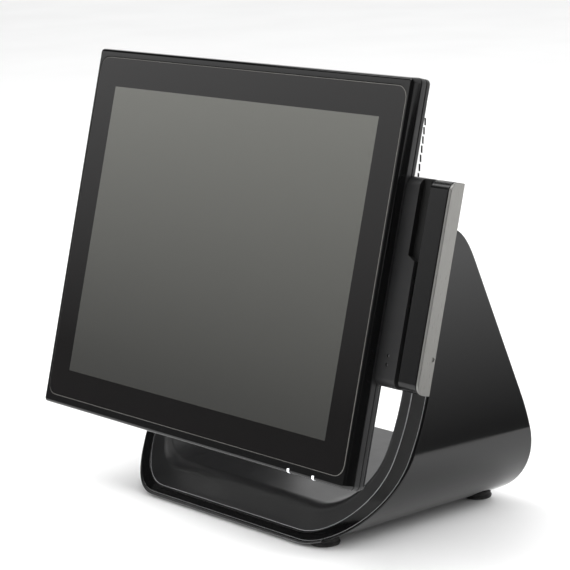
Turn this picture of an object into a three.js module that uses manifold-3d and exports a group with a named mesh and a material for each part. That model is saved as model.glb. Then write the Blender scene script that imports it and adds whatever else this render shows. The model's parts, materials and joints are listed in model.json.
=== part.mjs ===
// A countertop self-checkout terminal: a 15 inch touch screen head with a card reader on its right edge,
// held by a cross shaft between the two arms of a U-shaped stand. Millimetres, +Z up, the user stands at -Y.
import * as THREE from 'three';
import { mergeVertices } from 'three/addons/utils/BufferGeometryUtils.js';
import Module from 'manifold-3d';

const wasm = await Module();
wasm.setup();

// ---------------------------------------------------------------- driving dimensions

const gap = 0.3;
const smallArcSteps = 3;
const largeArcSteps = 5;
const sides = [['left', -1], ['right', 1]];

// Head, in its own frame: x to the right, y from the glass towards the back, z up along the glass.
const tilt = THREE.MathUtils.degToRad(15);
const glassCentreHeight = 207.5;
const head = { width: 360, height: 288, cornerRadius: 4 };
const glass = { width: 351.2, height: 273, centreZ: 0.5, cornerRadius: 9.5, thickness: 3 };
const panel = { width: 326, height: 253, front: 5.7, back: 13.3 };
const windowSize = { width: 306, height: 230 };
const bezelDepth = 8;
const middleFrame = { front: 8.3, back: 13 };
const rearFrame = { front: 13.3, back: 16.5, plateauBack: 19.5, plateauTop: -62, plateauInset: 1 };
const cover = {
  width: 340, height: 270, cornerRadius: 7, front: 13.6, back: 45, wall: 2.5, chamfer: 7,
  lowerWidth: 292, shoulderZ: -58,
};
const chassis = { width: 322, height: 250, front: 13.6, back: 14.8 };
const sideVents = { count: 16, pitch: 6.4, topZ: 118.5, front: 26, width: 1.6, height: 5, slant: 1, lean: 0.06 };
const backVents = { count: 15, pitch: 7, z: 96, height: 34, width: 2.4, columnX: 62 };
const lens = { width: 2.2, height: 4, depth: 3, firstX: 119.6, secondX: 145.9 };
const button = { x: 128, y: 29, radius: 4.7, flangeRadius: 6.4, stand: 1.2 };
const vesa = { spacing: 100, screwRadius: 2, screwHeadRadius: 4 };
const coverScrew = { x: 132, z: 112, radius: 1.5, headRadius: 3, length: 8 };

// Card reader, in the head's frame.
const reader = {
  bottom: -69, top: 77, front: 9.5, back: 21.7, cornerRadius: 7,
  innerX: 180.5, slotX: 200, slotWidth: 3.5, outerX: 221.1, plateX: 223.6, floorDepth: 3,
  recessX: 193.2, recessZ: 23, recessEndZ: 18.9, recessDepth: 4,
  lightX: 190.3, upperLightZ: -47, lowerLightZ: -53.4, screwY: 19.5, screwZ: -44,
};

// Stand. The front view is a U with round lower corners, the side view a triangle with round corners.
const stand = {
  halfWidth: 149, cornerRadius: 62, bottom: 2, skin: 3,
  linerHalfWidth: 135, linerCornerRadius: 53.5, linerBottom: 8.3,
  troughHalfWidth: 122.5, troughCornerRadius: 41.5,
  troughFrontY: 20, troughFrontZ: 24.5, troughRearY: 187, troughRearZ: 29.3,
  seamX: 107.5, trimDepth: 19,
};
const rim = {
  toeY: -4.4, toeAngle: 33.5, bendAngle: 76, topAngle: 85, lowerRadius: 184, upperRadius: 500,
  rearY: 188.5, rearCornerRadius: 14.5, rearArcRadius: 190, rearLean: 23.2, rearTopZ: 202,
  apexPullRear: 38, apexPullFront: 50,
};
const pivot = { y: 104.5, z: 201 };
const shaft = { radius: 9, halfLength: 139 };
const hingeArm = { x: 36, thickness: 10, ringRadius: 17 };
const washerThickness = 4;
const clampNutThickness = 8;
const foot = { x: 98.5, frontY: 15, rearY: 174, radius: 11.5 };
const ports = { panelFront: 170, panelBack: 172, halfWidth: 80, bottom: 9.5, top: 25 };

// ---------------------------------------------------------------- materials

const finish = (color, roughness, metalness = 0) => () =>
  new THREE.MeshStandardMaterial({ color, roughness, metalness });
const glossBlack = finish(0x0c0c0d, 0.12);
const satinBlack = finish(0x1c1c1e, 0.45);
const textureBlack = finish(0x2e2e30, 0.6);
const palePlastic = finish(0xd9d9d6, 0.5);
const silver = finish(0x9a9994, 0.35, 0.6);
const steel = finish(0x8f9194, 0.35, 0.9);
const blackSteel = finish(0x222326, 0.4, 0.6);
const screenGlass = finish(0x3a3a37, 0.08);
const rubber = finish(0x101010, 0.8);
const lamp = finish(0xf4f6f8, 0.3);
const boardGreen = finish(0x1f5a3a, 0.6);
const aluminium = finish(0xb8babd, 0.4, 0.9);

// ---------------------------------------------------------------- outlines and solids

const radians = THREE.MathUtils.degToRad;

/** A rectangle with round corners, centred on (centreX, centreY). */
function roundedRect(width, height, radius, centreX = 0, centreY = 0) {
  const shape = new THREE.Shape();
  const x = width / 2 - radius;
  const y = height / 2 - radius;
  shape.absarc(centreX + x, centreY - y, radius, -Math.PI / 2, 0);
  shape.absarc(centreX + x, centreY + y, radius, 0, Math.PI / 2);
  shape.absarc(centreX - x, centreY + y, radius, Math.PI / 2, Math.PI);
  shape.absarc(centreX - x, centreY - y, radius, Math.PI, 1.5 * Math.PI);
  return shape;
}

/** The stand's front view: a block open to the top with round lower corners. */
function uShape(halfWidth, cornerRadius, bottom, top = 300) {
  const shape = new THREE.Shape();
  const x = halfWidth - cornerRadius;
  const z = bottom + cornerRadius;
  shape.moveTo(halfWidth, top);
  shape.lineTo(-halfWidth, top);
  shape.absarc(-x, z, cornerRadius, Math.PI, 1.5 * Math.PI);
  shape.absarc(x, z, cornerRadius, 1.5 * Math.PI, 2 * Math.PI);
  return shape;
}

/** The stand's side view, drawn in (y, z) from the toe along the bottom, up the back and down the front rim. */
function sideShape() {
  const shape = new THREE.Shape();
  const toe = new THREE.Vector2(rim.toeY, stand.bottom);
  const lower = new THREE.Vector2(-Math.sin(radians(rim.toeAngle)), Math.cos(radians(rim.toeAngle)))
    .multiplyScalar(rim.lowerRadius)
    .add(toe);
  const bendAngle = radians(rim.bendAngle - 90);
  const bend = new THREE.Vector2(Math.cos(bendAngle), Math.sin(bendAngle));
  const upper = bend.clone().multiplyScalar(rim.lowerRadius - rim.upperRadius).add(lower);
  const rearArcY = rim.rearY - rim.rearArcRadius;
  const lean = radians(rim.rearLean);
  const leanStartY = rearArcY + rim.rearArcRadius * Math.cos(lean);
  const rearArcZ = stand.bottom + rim.rearCornerRadius;
  const leanStartZ = rearArcZ + rim.rearArcRadius * Math.sin(lean);
  const rearTopY = leanStartY - (rim.rearTopZ - leanStartZ) * Math.tan(lean);
  const topAngle = radians(rim.topAngle - 90);
  const frontTopY = upper.x + rim.upperRadius * Math.cos(topAngle);
  const frontTopZ = upper.y + rim.upperRadius * Math.sin(topAngle);
  shape.moveTo(toe.x, toe.y);
  shape.absarc(rim.rearY - rim.rearCornerRadius, rearArcZ, rim.rearCornerRadius, -Math.PI / 2, 0);
  shape.absarc(rearArcY, rearArcZ, rim.rearArcRadius, 0, lean);
  shape.lineTo(rearTopY, rim.rearTopZ);
  shape.bezierCurveTo(
    rearTopY - rim.apexPullRear * Math.sin(lean), rim.rearTopZ + rim.apexPullRear * Math.cos(lean),
    frontTopY - rim.apexPullFront * Math.sin(topAngle), frontTopZ + rim.apexPullFront * Math.cos(topAngle),
    frontTopY, frontTopZ,
  );
  shape.absarc(upper.x, upper.y, rim.upperRadius, topAngle, bendAngle, true);
  shape.absarc(lower.x, lower.y, rim.lowerRadius, bendAngle, radians(rim.toeAngle - 90), true);
  return shape;
}

/** The same outline moved inwards along its normals by a wall's thickness. */
function insetShape(shape, distance) {
  const points = shape.getPoints(largeArcSteps);
  const unique = points.filter((point, i) => point.distanceTo(points[(i + 1) % points.length]) > gap);
  const count = unique.length;
  const moved = unique.map((point, i) => {
    const before = unique[(i + count - 1) % count];
    const after = unique[(i + 1) % count];
    const inward = (from, to) => new THREE.Vector2(from.y - to.y, to.x - from.x).normalize();
    const first = inward(before, point);
    const second = inward(point, after);
    const bisector = first.clone().add(second).normalize();
    return point.clone().addScaledVector(bisector, distance / Math.max(bisector.dot(first), 0.35));
  });
  return new THREE.Shape(moved);
}

const extrude = (shape, depth, curveSegments = smallArcSteps) =>
  new THREE.ExtrudeGeometry(shape, { depth, bevelEnabled: false, curveSegments });

/** A shape drawn in (x, z), extruded along y. */
const alongY = (shape, from, to, segments) =>
  toSolid(extrude(shape, to - from, segments).rotateX(Math.PI / 2).translate(0, to, 0));

/** A shape drawn in (y, z), extruded along x. */
function alongX(shape, from, to, segments) {
  const axes = new THREE.Matrix4().makeBasis(
    new THREE.Vector3(0, 1, 0), new THREE.Vector3(0, 0, 1), new THREE.Vector3(1, 0, 0),
  );
  return toSolid(extrude(shape, to - from, segments).applyMatrix4(axes).translate(from, 0, 0));
}

/** A shape drawn in (x, y), extruded upwards. */
const alongZ = (shape, from, to, segments) => toSolid(extrude(shape, to - from, segments).translate(0, 0, from));

/** A block given by its lowest and highest corners. */
function block(low, high) {
  const size = high.map((value, i) => value - low[i]);
  const centre = high.map((value, i) => (value + low[i]) / 2);
  return toSolid(new THREE.BoxGeometry(...size).translate(...centre));
}

/** A round bar along x, y or z between two places on that axis. */
function bar(axis, radius, from, to, centre, segments = 24) {
  const geometry = new THREE.CylinderGeometry(radius, radius, to - from, segments);
  if (axis === 'x') geometry.rotateZ(-Math.PI / 2);
  if (axis === 'z') geometry.rotateX(Math.PI / 2);
  const middle = new THREE.Vector3(...centre);
  middle[axis] = (from + to) / 2;
  return toSolid(geometry.translate(...middle.toArray()));
}

/** Turns a closed mesh into a solid that can be joined and cut. */
function toSolid(geometry) {
  geometry.deleteAttribute('normal');
  geometry.deleteAttribute('uv');
  const merged = mergeVertices(geometry, 1e-4);
  return new wasm.Manifold(new wasm.Mesh({
    numProp: 3,
    vertProperties: new Float32Array(merged.attributes.position.array),
    triVerts: new Uint32Array(merged.index.array),
  }));
}

const joined = (...solids) => solids.reduce((whole, solid) => whole.add(solid));
const cut = (solid, ...tools) => tools.reduce((whole, tool) => whole.subtract(tool), solid);

/** A named sub-part with its own material. */
function subPart(name, solid, makeMaterial) {
  const { vertProperties, triVerts } = solid.getMesh();
  const geometry = new THREE.BufferGeometry();
  geometry.setAttribute('position', new THREE.BufferAttribute(new Float32Array(vertProperties), 3));
  geometry.setIndex(new THREE.BufferAttribute(new Uint32Array(triVerts), 1));
  geometry.computeVertexNormals();
  const mesh = new THREE.Mesh(geometry, makeMaterial());
  mesh.name = name;
  return mesh;
}

// ---------------------------------------------------------------- head

const headOutline = () => roundedRect(head.width, head.height, head.cornerRadius);

/** A plate along y with a rectangular window. */
const frameRing = (outline, front, back, width, height, radius) =>
  cut(alongY(outline, front, back), alongY(roundedRect(width, height, radius), front - 1, back + 1));

function frontBezel() {
  const glassPocket = roundedRect(
    glass.width + 2 * gap, glass.height + 2 * gap, glass.cornerRadius + gap, 0, glass.centreZ,
  );
  const panelPocket = roundedRect(panel.width + 2, panel.height + 2, 2);
  const ledgeBack = panel.front - gap;
  return cut(
    frameRing(headOutline(), 0, bezelDepth, windowSize.width, windowSize.height, 2),
    alongY(glassPocket, -1, glass.thickness + gap),
    alongY(panelPocket, ledgeBack, bezelDepth + 1),
    ...lensPlaces().map((x) => lensBlock(x, gap)),
  );
}

const lensPlaces = () => [lens.firstX, lens.secondX];

function lensBlock(x, margin) {
  const bottom = -head.height / 2;
  return block(
    [x - lens.width / 2 - margin, -1, bottom - 1],
    [x + lens.width / 2 + margin, lens.depth + margin, bottom + lens.height + margin],
  );
}

/** A small light pipe that wraps round the bezel's lower front edge. */
function statusLens(x) {
  const body = alongY(headOutline(), 0, bezelDepth);
  return lensBlock(x, 0).intersect(body);
}

/** The cover's outline moved inwards: below its shoulders it is narrower, to leave the head's lower corners thin. */
function coverOutline(inset) {
  const x = cover.width / 2 - inset;
  const lowerX = cover.lowerWidth / 2 - inset;
  const z = cover.height / 2 - inset;
  const r = Math.max(cover.cornerRadius + cover.chamfer - inset, 1);
  const shoulder = cover.shoulderZ + inset * Math.tan(Math.PI / 8);
  const foot = shoulder - (cover.width - cover.lowerWidth) / 2;
  const shape = new THREE.Shape();
  shape.absarc(lowerX - r, r - z, r, -Math.PI / 2, 0);
  shape.lineTo(lowerX, foot);
  shape.lineTo(x, shoulder);
  shape.absarc(x - r, z - r, r, 0, Math.PI / 2);
  shape.absarc(r - x, z - r, r, Math.PI / 2, Math.PI);
  shape.lineTo(-x, shoulder);
  shape.lineTo(-lowerX, foot);
  shape.absarc(r - lowerX, r - z, r, Math.PI, 1.5 * Math.PI);
  return shape;
}

function rearCover() {
  const { chamfer, wall } = cover;
  const shell = (inset, front, back) => {
    const geometry = new THREE.ExtrudeGeometry(coverOutline(chamfer + inset), {
      depth: back - front, bevelEnabled: true, bevelThickness: chamfer, bevelSize: chamfer,
      bevelSegments: 2, curveSegments: smallArcSteps,
    });
    return toSolid(geometry.rotateX(Math.PI / 2).translate(0, back - chamfer, 0));
  };
  const outside = cut(
    shell(0, cover.front - 2 * chamfer, cover.back),
    block([-200, -40, -200], [200, cover.front, 200]),
  );
  const inside = shell(wall, cover.front - 4 * chamfer, cover.back - wall);
  const chassisRoom = alongY(
    roundedRect(chassis.width + 2 * gap, chassis.height + 2 * gap, 3), cover.front - 1, chassis.back + gap,
  );
  const buttonHole = bar('z', button.radius + gap, -cover.height / 2 - 5, -cover.height / 2 + 5,
    [button.x, button.y, 0], 16);
  return cut(outside, inside, chassisRoom, ...sideVentCuts(), ...backVentCuts(), ...vesaHoles(cover.back - 10, cover.back + 1),
    ...coverScrewPlaces().map(([x, z]) =>
      bar('y', coverScrew.radius + gap, cover.back - 10, cover.back + 1, [x, 0, z], 12)),
    buttonHole);
}

/** The rear frame: a ring round the cover, with a raised plateau that closes the two lower corners. */
function rearFrameSolid() {
  const ring = frameRing(
    headOutline(), rearFrame.front, rearFrame.back,
    cover.width + 2 * gap, cover.height + 2 * gap, cover.cornerRadius + cover.chamfer + gap,
  );
  const inset = rearFrame.plateauInset;
  const plateau = cut(
    alongY(
      roundedRect(head.width - 2 * inset, head.height - 2 * inset, head.cornerRadius - inset),
      chassis.back + gap, rearFrame.plateauBack,
    ),
    alongY(coverOutline(-gap), chassis.back, rearFrame.plateauBack + 1),
    block([-head.width, 0, rearFrame.plateauTop], [head.width, 50, head.height]),
  );
  return joined(ring, plateau);
}

/** Slanted slots in the cover's two sides. */
function sideVentCuts() {
  const cuts = [];
  for (const [, side] of sides) {
    for (let i = 0; i < sideVents.count; i += 1) {
      const z = sideVents.topZ - i * sideVents.pitch;
      const front = sideVents.front + i * sideVents.pitch * sideVents.lean;
      const slot = new THREE.Shape([
        new THREE.Vector2(front, z),
        new THREE.Vector2(front + sideVents.slant, z - sideVents.height),
        new THREE.Vector2(front + sideVents.slant + sideVents.width, z - sideVents.height),
        new THREE.Vector2(front + sideVents.width, z),
      ]);
      const x = side * cover.width / 2;
      cuts.push(alongX(slot, x - 5, x + 5));
    }
  }
  return cuts;
}

/** Two groups of upright slots high on the cover's back. */
function backVentCuts() {
  const cuts = [];
  for (const [, side] of sides) {
    for (let i = 0; i < backVents.count; i += 1) {
      const x = side * backVents.columnX + (i - (backVents.count - 1) / 2) * backVents.pitch;
      cuts.push(block(
        [x - backVents.width / 2, cover.back - 8, backVents.z - backVents.height / 2],
        [x + backVents.width / 2, cover.back + 1, backVents.z + backVents.height / 2],
      ));
    }
  }
  return cuts;
}

const vesaPlaces = () => [[-1, -1], [1, -1], [-1, 1], [1, 1]]
  .map(([x, z]) => [x * vesa.spacing / 2, z * vesa.spacing / 2]);
const vesaHoles = (from, to) => vesaPlaces()
  .map(([x, z]) => bar('y', vesa.screwRadius + gap, from, to, [x, 0, z], 12));
const coverScrewPlaces = () => [[-1, -1], [1, -1], [-1, 1], [1, 1]]
  .map(([x, z]) => [x * coverScrew.x, z * coverScrew.z]);

/** A pan-head screw along y whose head rests on headFront and whose shank runs forward. */
const screwY = (x, z, radius, headRadius, headFront, tip) => joined(
  bar('y', headRadius, headFront, headFront + 2.4, [x, 0, z], 16),
  bar('y', radius, tip, headFront + 1, [x, 0, z], 12),
);

/** The steel plate behind the screen, with a pressed-in screw post behind each corner of the hinge plate. */
function chassisPlate() {
  const plate = alongY(roundedRect(chassis.width, chassis.height, 3), chassis.front, chassis.back);
  const posts = vesaPlaces().map(([x, z]) =>
    bar('y', 5, chassis.back - 0.5, cover.back - cover.wall - gap, [x, 0, z], 16));
  return cut(joined(plate, ...posts), ...vesaHoles(chassis.back + 10, cover.back));
}

function heatSink() {
  const fins = [];
  for (let i = 0; i < 9; i += 1) {
    const x = -32 + i * 8;
    fins.push(block([x - 0.8, 21, 30], [x + 0.8, 38, 100]));
  }
  return joined(block([-36, 18.5, 30], [36, 22, 100]), ...fins);
}

function powerButton() {
  const wallOutside = -cover.height / 2;
  const wallInside = wallOutside + cover.wall;
  const centre = [button.x, button.y, 0];
  return joined(
    bar('z', button.radius, wallOutside - button.stand, wallInside + 1, centre, 24),
    bar('z', button.flangeRadius, wallInside + gap, wallInside + gap + 1.4, centre, 24),
  );
}

/** The hinge arm's side view: a foot on the plate that narrows towards the shaft. */
function hingeArmSolid(side) {
  const [y, z] = pivotInHead();
  const plateBack = hingePlateBack() + gap;
  const shape = new THREE.Shape();
  shape.moveTo(plateBack, -42);
  shape.lineTo(plateBack + 7, -42);
  shape.lineTo(y + hingeArm.ringRadius * 0.7, z - hingeArm.ringRadius * 0.7);
  shape.absarc(y, z, hingeArm.ringRadius, -Math.PI / 4, Math.PI / 2);
  shape.lineTo(plateBack + 12, 52);
  shape.lineTo(plateBack, 52);
  const x = side * hingeArm.x;
  const half = hingeArm.thickness / 2;
  return cut(
    alongX(shape, x - half, x + half),
    bar('x', shaft.radius + gap, x - half - 1, x + half + 1, [0, y, z], 32),
  );
}

const hingePlateFront = () => cover.back + gap;
const hingePlateBack = () => hingePlateFront() + 3;

/** The shaft's place in the head's frame. */
function pivotInHead() {
  const z = pivot.z - glassCentreHeight;
  return [
    pivot.y * Math.cos(tilt) - z * Math.sin(tilt),
    pivot.y * Math.sin(tilt) + z * Math.cos(tilt),
  ];
}

function addHead(group) {
  group.add(subPart('front_bezel', frontBezel(), glossBlack));
  group.add(subPart('touch_glass', alongY(roundedRect(
    glass.width, glass.height, glass.cornerRadius, 0, glass.centreZ,
  ), 0, glass.thickness), screenGlass));
  group.add(subPart('lcd_panel', block(
    [-panel.width / 2, panel.front, -panel.height / 2],
    [panel.width / 2, panel.back - gap, panel.height / 2],
  ), steel));
  lensPlaces().forEach((x, i) => {
    group.add(subPart(['power_lens', 'network_lens'][i], statusLens(x), lamp));
  });
  group.add(subPart('middle_frame', frameRing(
    headOutline(), middleFrame.front, middleFrame.back, panel.width + 2, panel.height + 2, 2,
  ), satinBlack));
  group.add(subPart('rear_frame', rearFrameSolid(), satinBlack));
  group.add(subPart('rear_cover', rearCover(), palePlastic));
  group.add(subPart('chassis_plate', chassisPlate(), steel));
  group.add(subPart('main_board', cut(
    block([-90, 16, -40], [90, 17.6, 112]),
    ...vesaPlaces().map(([x, z]) => bar('y', 5 + gap, 15, 19, [x, 0, z], 16)),
  ), boardGreen));
  group.add(subPart('heat_sink', heatSink(), aluminium));
  coverScrewPlaces().forEach(([x, z], i) => {
    group.add(subPart(`cover_screw_${i + 1}`, screwY(
      x, z, coverScrew.radius, coverScrew.headRadius, cover.back + gap, cover.back - coverScrew.length,
    ), blackSteel));
  });
  group.add(subPart('power_button', powerButton(), glossBlack));
  addHingeMount(group);
}

function addHingeMount(group) {
  const plate = alongY(roundedRect(130, 130, 8), hingePlateFront(), hingePlateBack());
  group.add(subPart('hinge_plate', cut(plate, ...vesaHoles(cover.back, cover.back + 5)), blackSteel));
  for (const [name, side] of sides) {
    group.add(subPart(`${name}_hinge_arm`, hingeArmSolid(side), blackSteel));
  }
  vesaPlaces().forEach(([x, z], i) => {
    group.add(subPart(`plate_screw_${i + 1}`, screwY(
      x, z, vesa.screwRadius, vesa.screwHeadRadius, hingePlateBack() + gap, chassis.back + 12,
    ), steel));
  });
}

// ---------------------------------------------------------------- card reader

/** The reader's side view in (y, z), with round front corners. */
function readerShape(front, back) {
  const r = reader.cornerRadius;
  const shape = new THREE.Shape();
  shape.moveTo(back, reader.bottom);
  shape.lineTo(back, reader.top);
  shape.absarc(front + r, reader.top - r, r, Math.PI / 2, Math.PI);
  shape.absarc(front + r, reader.bottom + r, r, Math.PI, 1.5 * Math.PI);
  return shape;
}

/** The finger recess beside the slot: it runs from the top of the inner wall down to a diagonal end. */
function fingerRecess() {
  const shape = new THREE.Shape([
    new THREE.Vector2(reader.recessX, reader.top + 5),
    new THREE.Vector2(reader.recessX, reader.recessZ),
    new THREE.Vector2(reader.slotX + 1, reader.recessEndZ),
    new THREE.Vector2(reader.slotX + 1, reader.top + 5),
  ]);
  return alongY(shape, reader.front - 5, reader.front + reader.recessDepth);
}

const readerLights = () => [['upper', reader.upperLightZ], ['lower', reader.lowerLightZ]];

function readerInnerBody() {
  const wall = alongX(readerShape(reader.front, reader.back), reader.innerX, reader.slotX);
  const lights = readerLights().map(([, z]) =>
    bar('y', 1 + gap, reader.front - 1, reader.front + 2.5, [reader.lightX, 0, z], 12));
  const headPocket = block([reader.slotX - 6, 12, -12], [reader.slotX + 1, 18, 8]);
  return cut(wall, fingerRecess(), headPocket, ...lights);
}

function addReader(group) {
  const slotEnd = reader.slotX + reader.slotWidth;
  group.add(subPart('reader_inner_body', readerInnerBody(), textureBlack));
  group.add(subPart('reader_outer_body', alongX(
    readerShape(reader.front, reader.back), slotEnd, reader.outerX - gap,
  ), satinBlack));
  group.add(subPart('reader_slot_floor', block(
    [reader.slotX + gap, reader.back - reader.floorDepth, reader.bottom + 1],
    [slotEnd - gap, reader.back, reader.top - 1],
  ), blackSteel));
  const screwHole = bar('x', 1.1, reader.outerX - 1, reader.plateX + 1, [0, reader.screwY, reader.screwZ], 12);
  group.add(subPart('reader_end_plate', cut(alongX(
    readerShape(reader.front, reader.back), reader.outerX, reader.plateX,
  ), screwHole), silver));
  group.add(subPart('read_head', block(
    [reader.slotX - 5.7, 12.3, -11.7], [reader.slotX - gap, 17.7, 7.7],
  ), steel));
  for (const [name, z] of readerLights()) {
    group.add(subPart(`reader_light_${name}`, bar(
      'y', 1, reader.front - 0.2, reader.front + 2.2, [reader.lightX, 0, z], 12,
    ), lamp));
  }
  const bracketFront = reader.back + gap;
  const bracketBack = bracketFront + 2;
  const bracketLeg = block([171, 18.5, -50], [173, bracketBack, 60]);
  const bracketPlate = block([171, bracketFront, -50], [214, bracketBack, 60]);
  group.add(subPart('reader_bracket', joined(bracketLeg, bracketPlate), blackSteel));
}

// ---------------------------------------------------------------- stand

const sideBlock = (inset) => alongX(insetShape(sideShape(), inset), -200, 200);
const fullSideBlock = () => alongX(new THREE.Shape(sideShape().getPoints(largeArcSteps)), -200, 200);
const uBlock = (halfWidth, radius, bottom) =>
  alongY(uShape(halfWidth, radius, bottom), -60, 260, largeArcSteps);

/** The space between the arms, over the sloping trough floor. */
function troughSpace(wall) {
  const halfWidth = stand.troughHalfWidth + wall;
  const shape = uShape(halfWidth, stand.troughCornerRadius + wall, -wall, 400);
  const slope = Math.atan2(stand.troughRearZ - stand.troughFrontZ, stand.troughRearY - stand.troughFrontY);
  const geometry = extrude(shape, 500, largeArcSteps).rotateX(Math.PI / 2).translate(0, 300, 0);
  return toSolid(geometry.rotateX(slope).translate(0, stand.troughFrontY, stand.troughFrontZ));
}

const shaftHole = (radius) => bar('x', radius, -200, 200, [0, pivot.y, pivot.z], 32);

/** The gloss outer skin of the stand with its turned-in rims, before it is divided. */
function outerShell() {
  const { halfWidth, cornerRadius, bottom, skin } = stand;
  const rimmed = uBlock(halfWidth, cornerRadius, bottom).intersect(fullSideBlock());
  const cavity = uBlock(halfWidth - skin, cornerRadius - skin, bottom + skin).intersect(sideBlock(skin));
  const liner = uBlock(stand.linerHalfWidth, stand.linerCornerRadius, stand.linerBottom);
  return cut(rimmed, cavity, liner);
}

/** The satin inner skin: trough floor, inner arm walls and the rims that meet the outer skin. */
function innerLiner() {
  const { skin } = stand;
  const body = uBlock(stand.linerHalfWidth - gap, stand.linerCornerRadius - gap, stand.linerBottom + gap)
    .intersect(fullSideBlock());
  const cavity = cut(sideBlock(skin), troughSpace(skin));
  const portWindow = block(
    [-ports.halfWidth - gap, 150, ports.bottom - gap], [ports.halfWidth + gap, 200, ports.top + gap],
  );
  return cut(body, troughSpace(0), cavity, portWindow, shaftHole(shaft.radius + gap));
}

/** A bent steel plate inside one arm, from the base up to the shaft. */
function armPlate(side) {
  const path = [[130, 222], [130, 51], [101, 13.5], [60, 9.3], [60, 6.3], [103, 10.4], [133, 49.5], [133, 222]];
  const section = new THREE.Shape(path.map(([x, z]) => new THREE.Vector2(x, z)));
  const plate = alongY(section, 30, 155).intersect(sideBlock(stand.skin + 1));
  const hole = shaftHole(shaft.radius + gap);
  return side > 0 ? cut(plate, hole) : cut(plate, hole).mirror([1, 0, 0]);
}

/** A ring on the shaft, with six sides if it is a nut. */
const shaftRing = (side, near, far, radius, segments) => cut(
  bar('x', radius, Math.min(side * near, side * far), Math.max(side * near, side * far),
    [0, pivot.y, pivot.z], segments),
  shaftHole(shaft.radius + gap),
);

function footSolid(x, y) {
  const shell = uBlock(stand.halfWidth + gap, stand.cornerRadius + gap, stand.bottom - gap);
  return cut(bar('z', foot.radius, 0, 20, [x, y, 0], 32), shell);
}

/** A socket block behind the panel, open to the back. */
const socket = (x, z, width, height, depth, wall) => cut(
  block([x - width / 2, ports.panelFront - gap - depth - wall, z - height / 2],
    [x + width / 2, ports.panelFront - gap, z + height / 2]),
  block([x - width / 2 + wall, ports.panelFront - gap - depth, z - height / 2 + wall],
    [x + width / 2 - wall, ports.panelFront + 1, z + height / 2 - wall]),
);

const portList = () => [
  ['power_inlet', -64, 12, 12],
  ['serial_port', -36, 20, 12],
  ['network_port', -6, 17, 14],
  ['usb_port_left', 24, 15, 8],
  ['usb_port_right', 50, 15, 8],
];

function addPorts(group) {
  const middleZ = (ports.bottom + ports.top) / 2;
  const windows = portList().map(([, x, width, height]) => block(
    [x - width / 2 + 1, ports.panelFront - 1, middleZ - height / 2 + 1],
    [x + width / 2 - 1, ports.panelBack + 1, middleZ + height / 2 - 1],
  ));
  const plate = block(
    [-ports.halfWidth, ports.panelFront, ports.bottom], [ports.halfWidth, ports.panelBack, ports.top],
  );
  group.add(subPart('port_panel', cut(plate, ...windows), blackSteel));
  for (const [name, x, width, height] of portList()) {
    group.add(subPart(name, socket(x, middleZ, width, height, 10, 1), steel));
  }
}

function addStand(group) {
  const shell = outerShell();
  const half = stand.seamX - gap / 2;
  const rightSide = block([stand.seamX + gap / 2, -100, -10], [200, 300, 300]);
  const right = shell.intersect(rightSide);
  const middle = shell.intersect(block([-half, -100, -10], [half, 300, 40]));
  const trimSpace = block([-half, -100, -10], [half, stand.trimDepth, 40]);
  const panSpace = block([-half, stand.trimDepth + gap, -10], [half, 300, 40]);
  group.add(subPart('right_side_shell', right, glossBlack));
  group.add(subPart('left_side_shell', right.mirror([1, 0, 0]), glossBlack));
  group.add(subPart('front_trim', middle.intersect(trimSpace), glossBlack));
  group.add(subPart('base_pan', middle.intersect(panSpace), satinBlack));
  group.add(subPart('inner_liner', innerLiner(), satinBlack));
  group.add(subPart('ballast_plate', block([-56, 40, 6.3], [56, 140, 16.3]), steel));
  group.add(subPart('hinge_shaft', bar(
    'x', shaft.radius, -shaft.halfLength, shaft.halfLength, [0, pivot.y, pivot.z], 32,
  ), steel));
  const washerX = hingeArm.x + hingeArm.thickness / 2 + gap;
  const nutX = washerX + washerThickness + gap;
  for (const [name, side] of sides) {
    group.add(subPart(`${name}_arm_plate`, armPlate(side), steel));
    group.add(subPart(`${name}_shaft_nut`, shaftRing(side, 133.3, 138.5, 14, 6), steel));
    group.add(subPart(`${name}_shaft_collar`, shaftRing(side, 114, 120.7, 15, 32), satinBlack));
    group.add(subPart(`${name}_friction_washer`, shaftRing(
      side, washerX, washerX + washerThickness, 15, 32,
    ), steel));
    group.add(subPart(`${name}_clamp_nut`, shaftRing(side, nutX, nutX + clampNutThickness, 15, 6), steel));
    group.add(subPart(`${name}_front_foot`, footSolid(side * foot.x, foot.frontY), rubber));
    group.add(subPart(`${name}_rear_foot`, footSolid(side * foot.x, foot.rearY), rubber));
  }
  addPorts(group);
}

// ---------------------------------------------------------------- assembly

const kiosk = new THREE.Group();
kiosk.name = 'self_checkout_kiosk';

const headGroup = new THREE.Group();
headGroup.position.set(0, 0, glassCentreHeight);
headGroup.rotation.x = -tilt;
addHead(headGroup);
addReader(headGroup);
kiosk.add(headGroup);
addStand(kiosk);

// The origin is the middle of the whole box, on the surface that the feet stand on.
kiosk.updateMatrixWorld(true);
const box = new THREE.Box3().setFromObject(kiosk, true);
const centre = box.getCenter(new THREE.Vector3());
kiosk.position.set(-centre.x, -centre.y, -box.min.z);
kiosk.updateMatrixWorld(true);

export default kiosk;
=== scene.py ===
"""Looks for a countertop self-checkout terminal: a tilting touch screen with a card reader on a U-shaped stand.

Lengths in this script are millimetres, turned into metres where a mesh is made. Two frames are used: the stand's,
whose origin is on the counter under the middle of the screen, and the head's, with x right, y back from the glass
and z up along it.
"""
import json
import math

import bmesh
import bpy
from mathutils import Matrix, Vector

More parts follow.
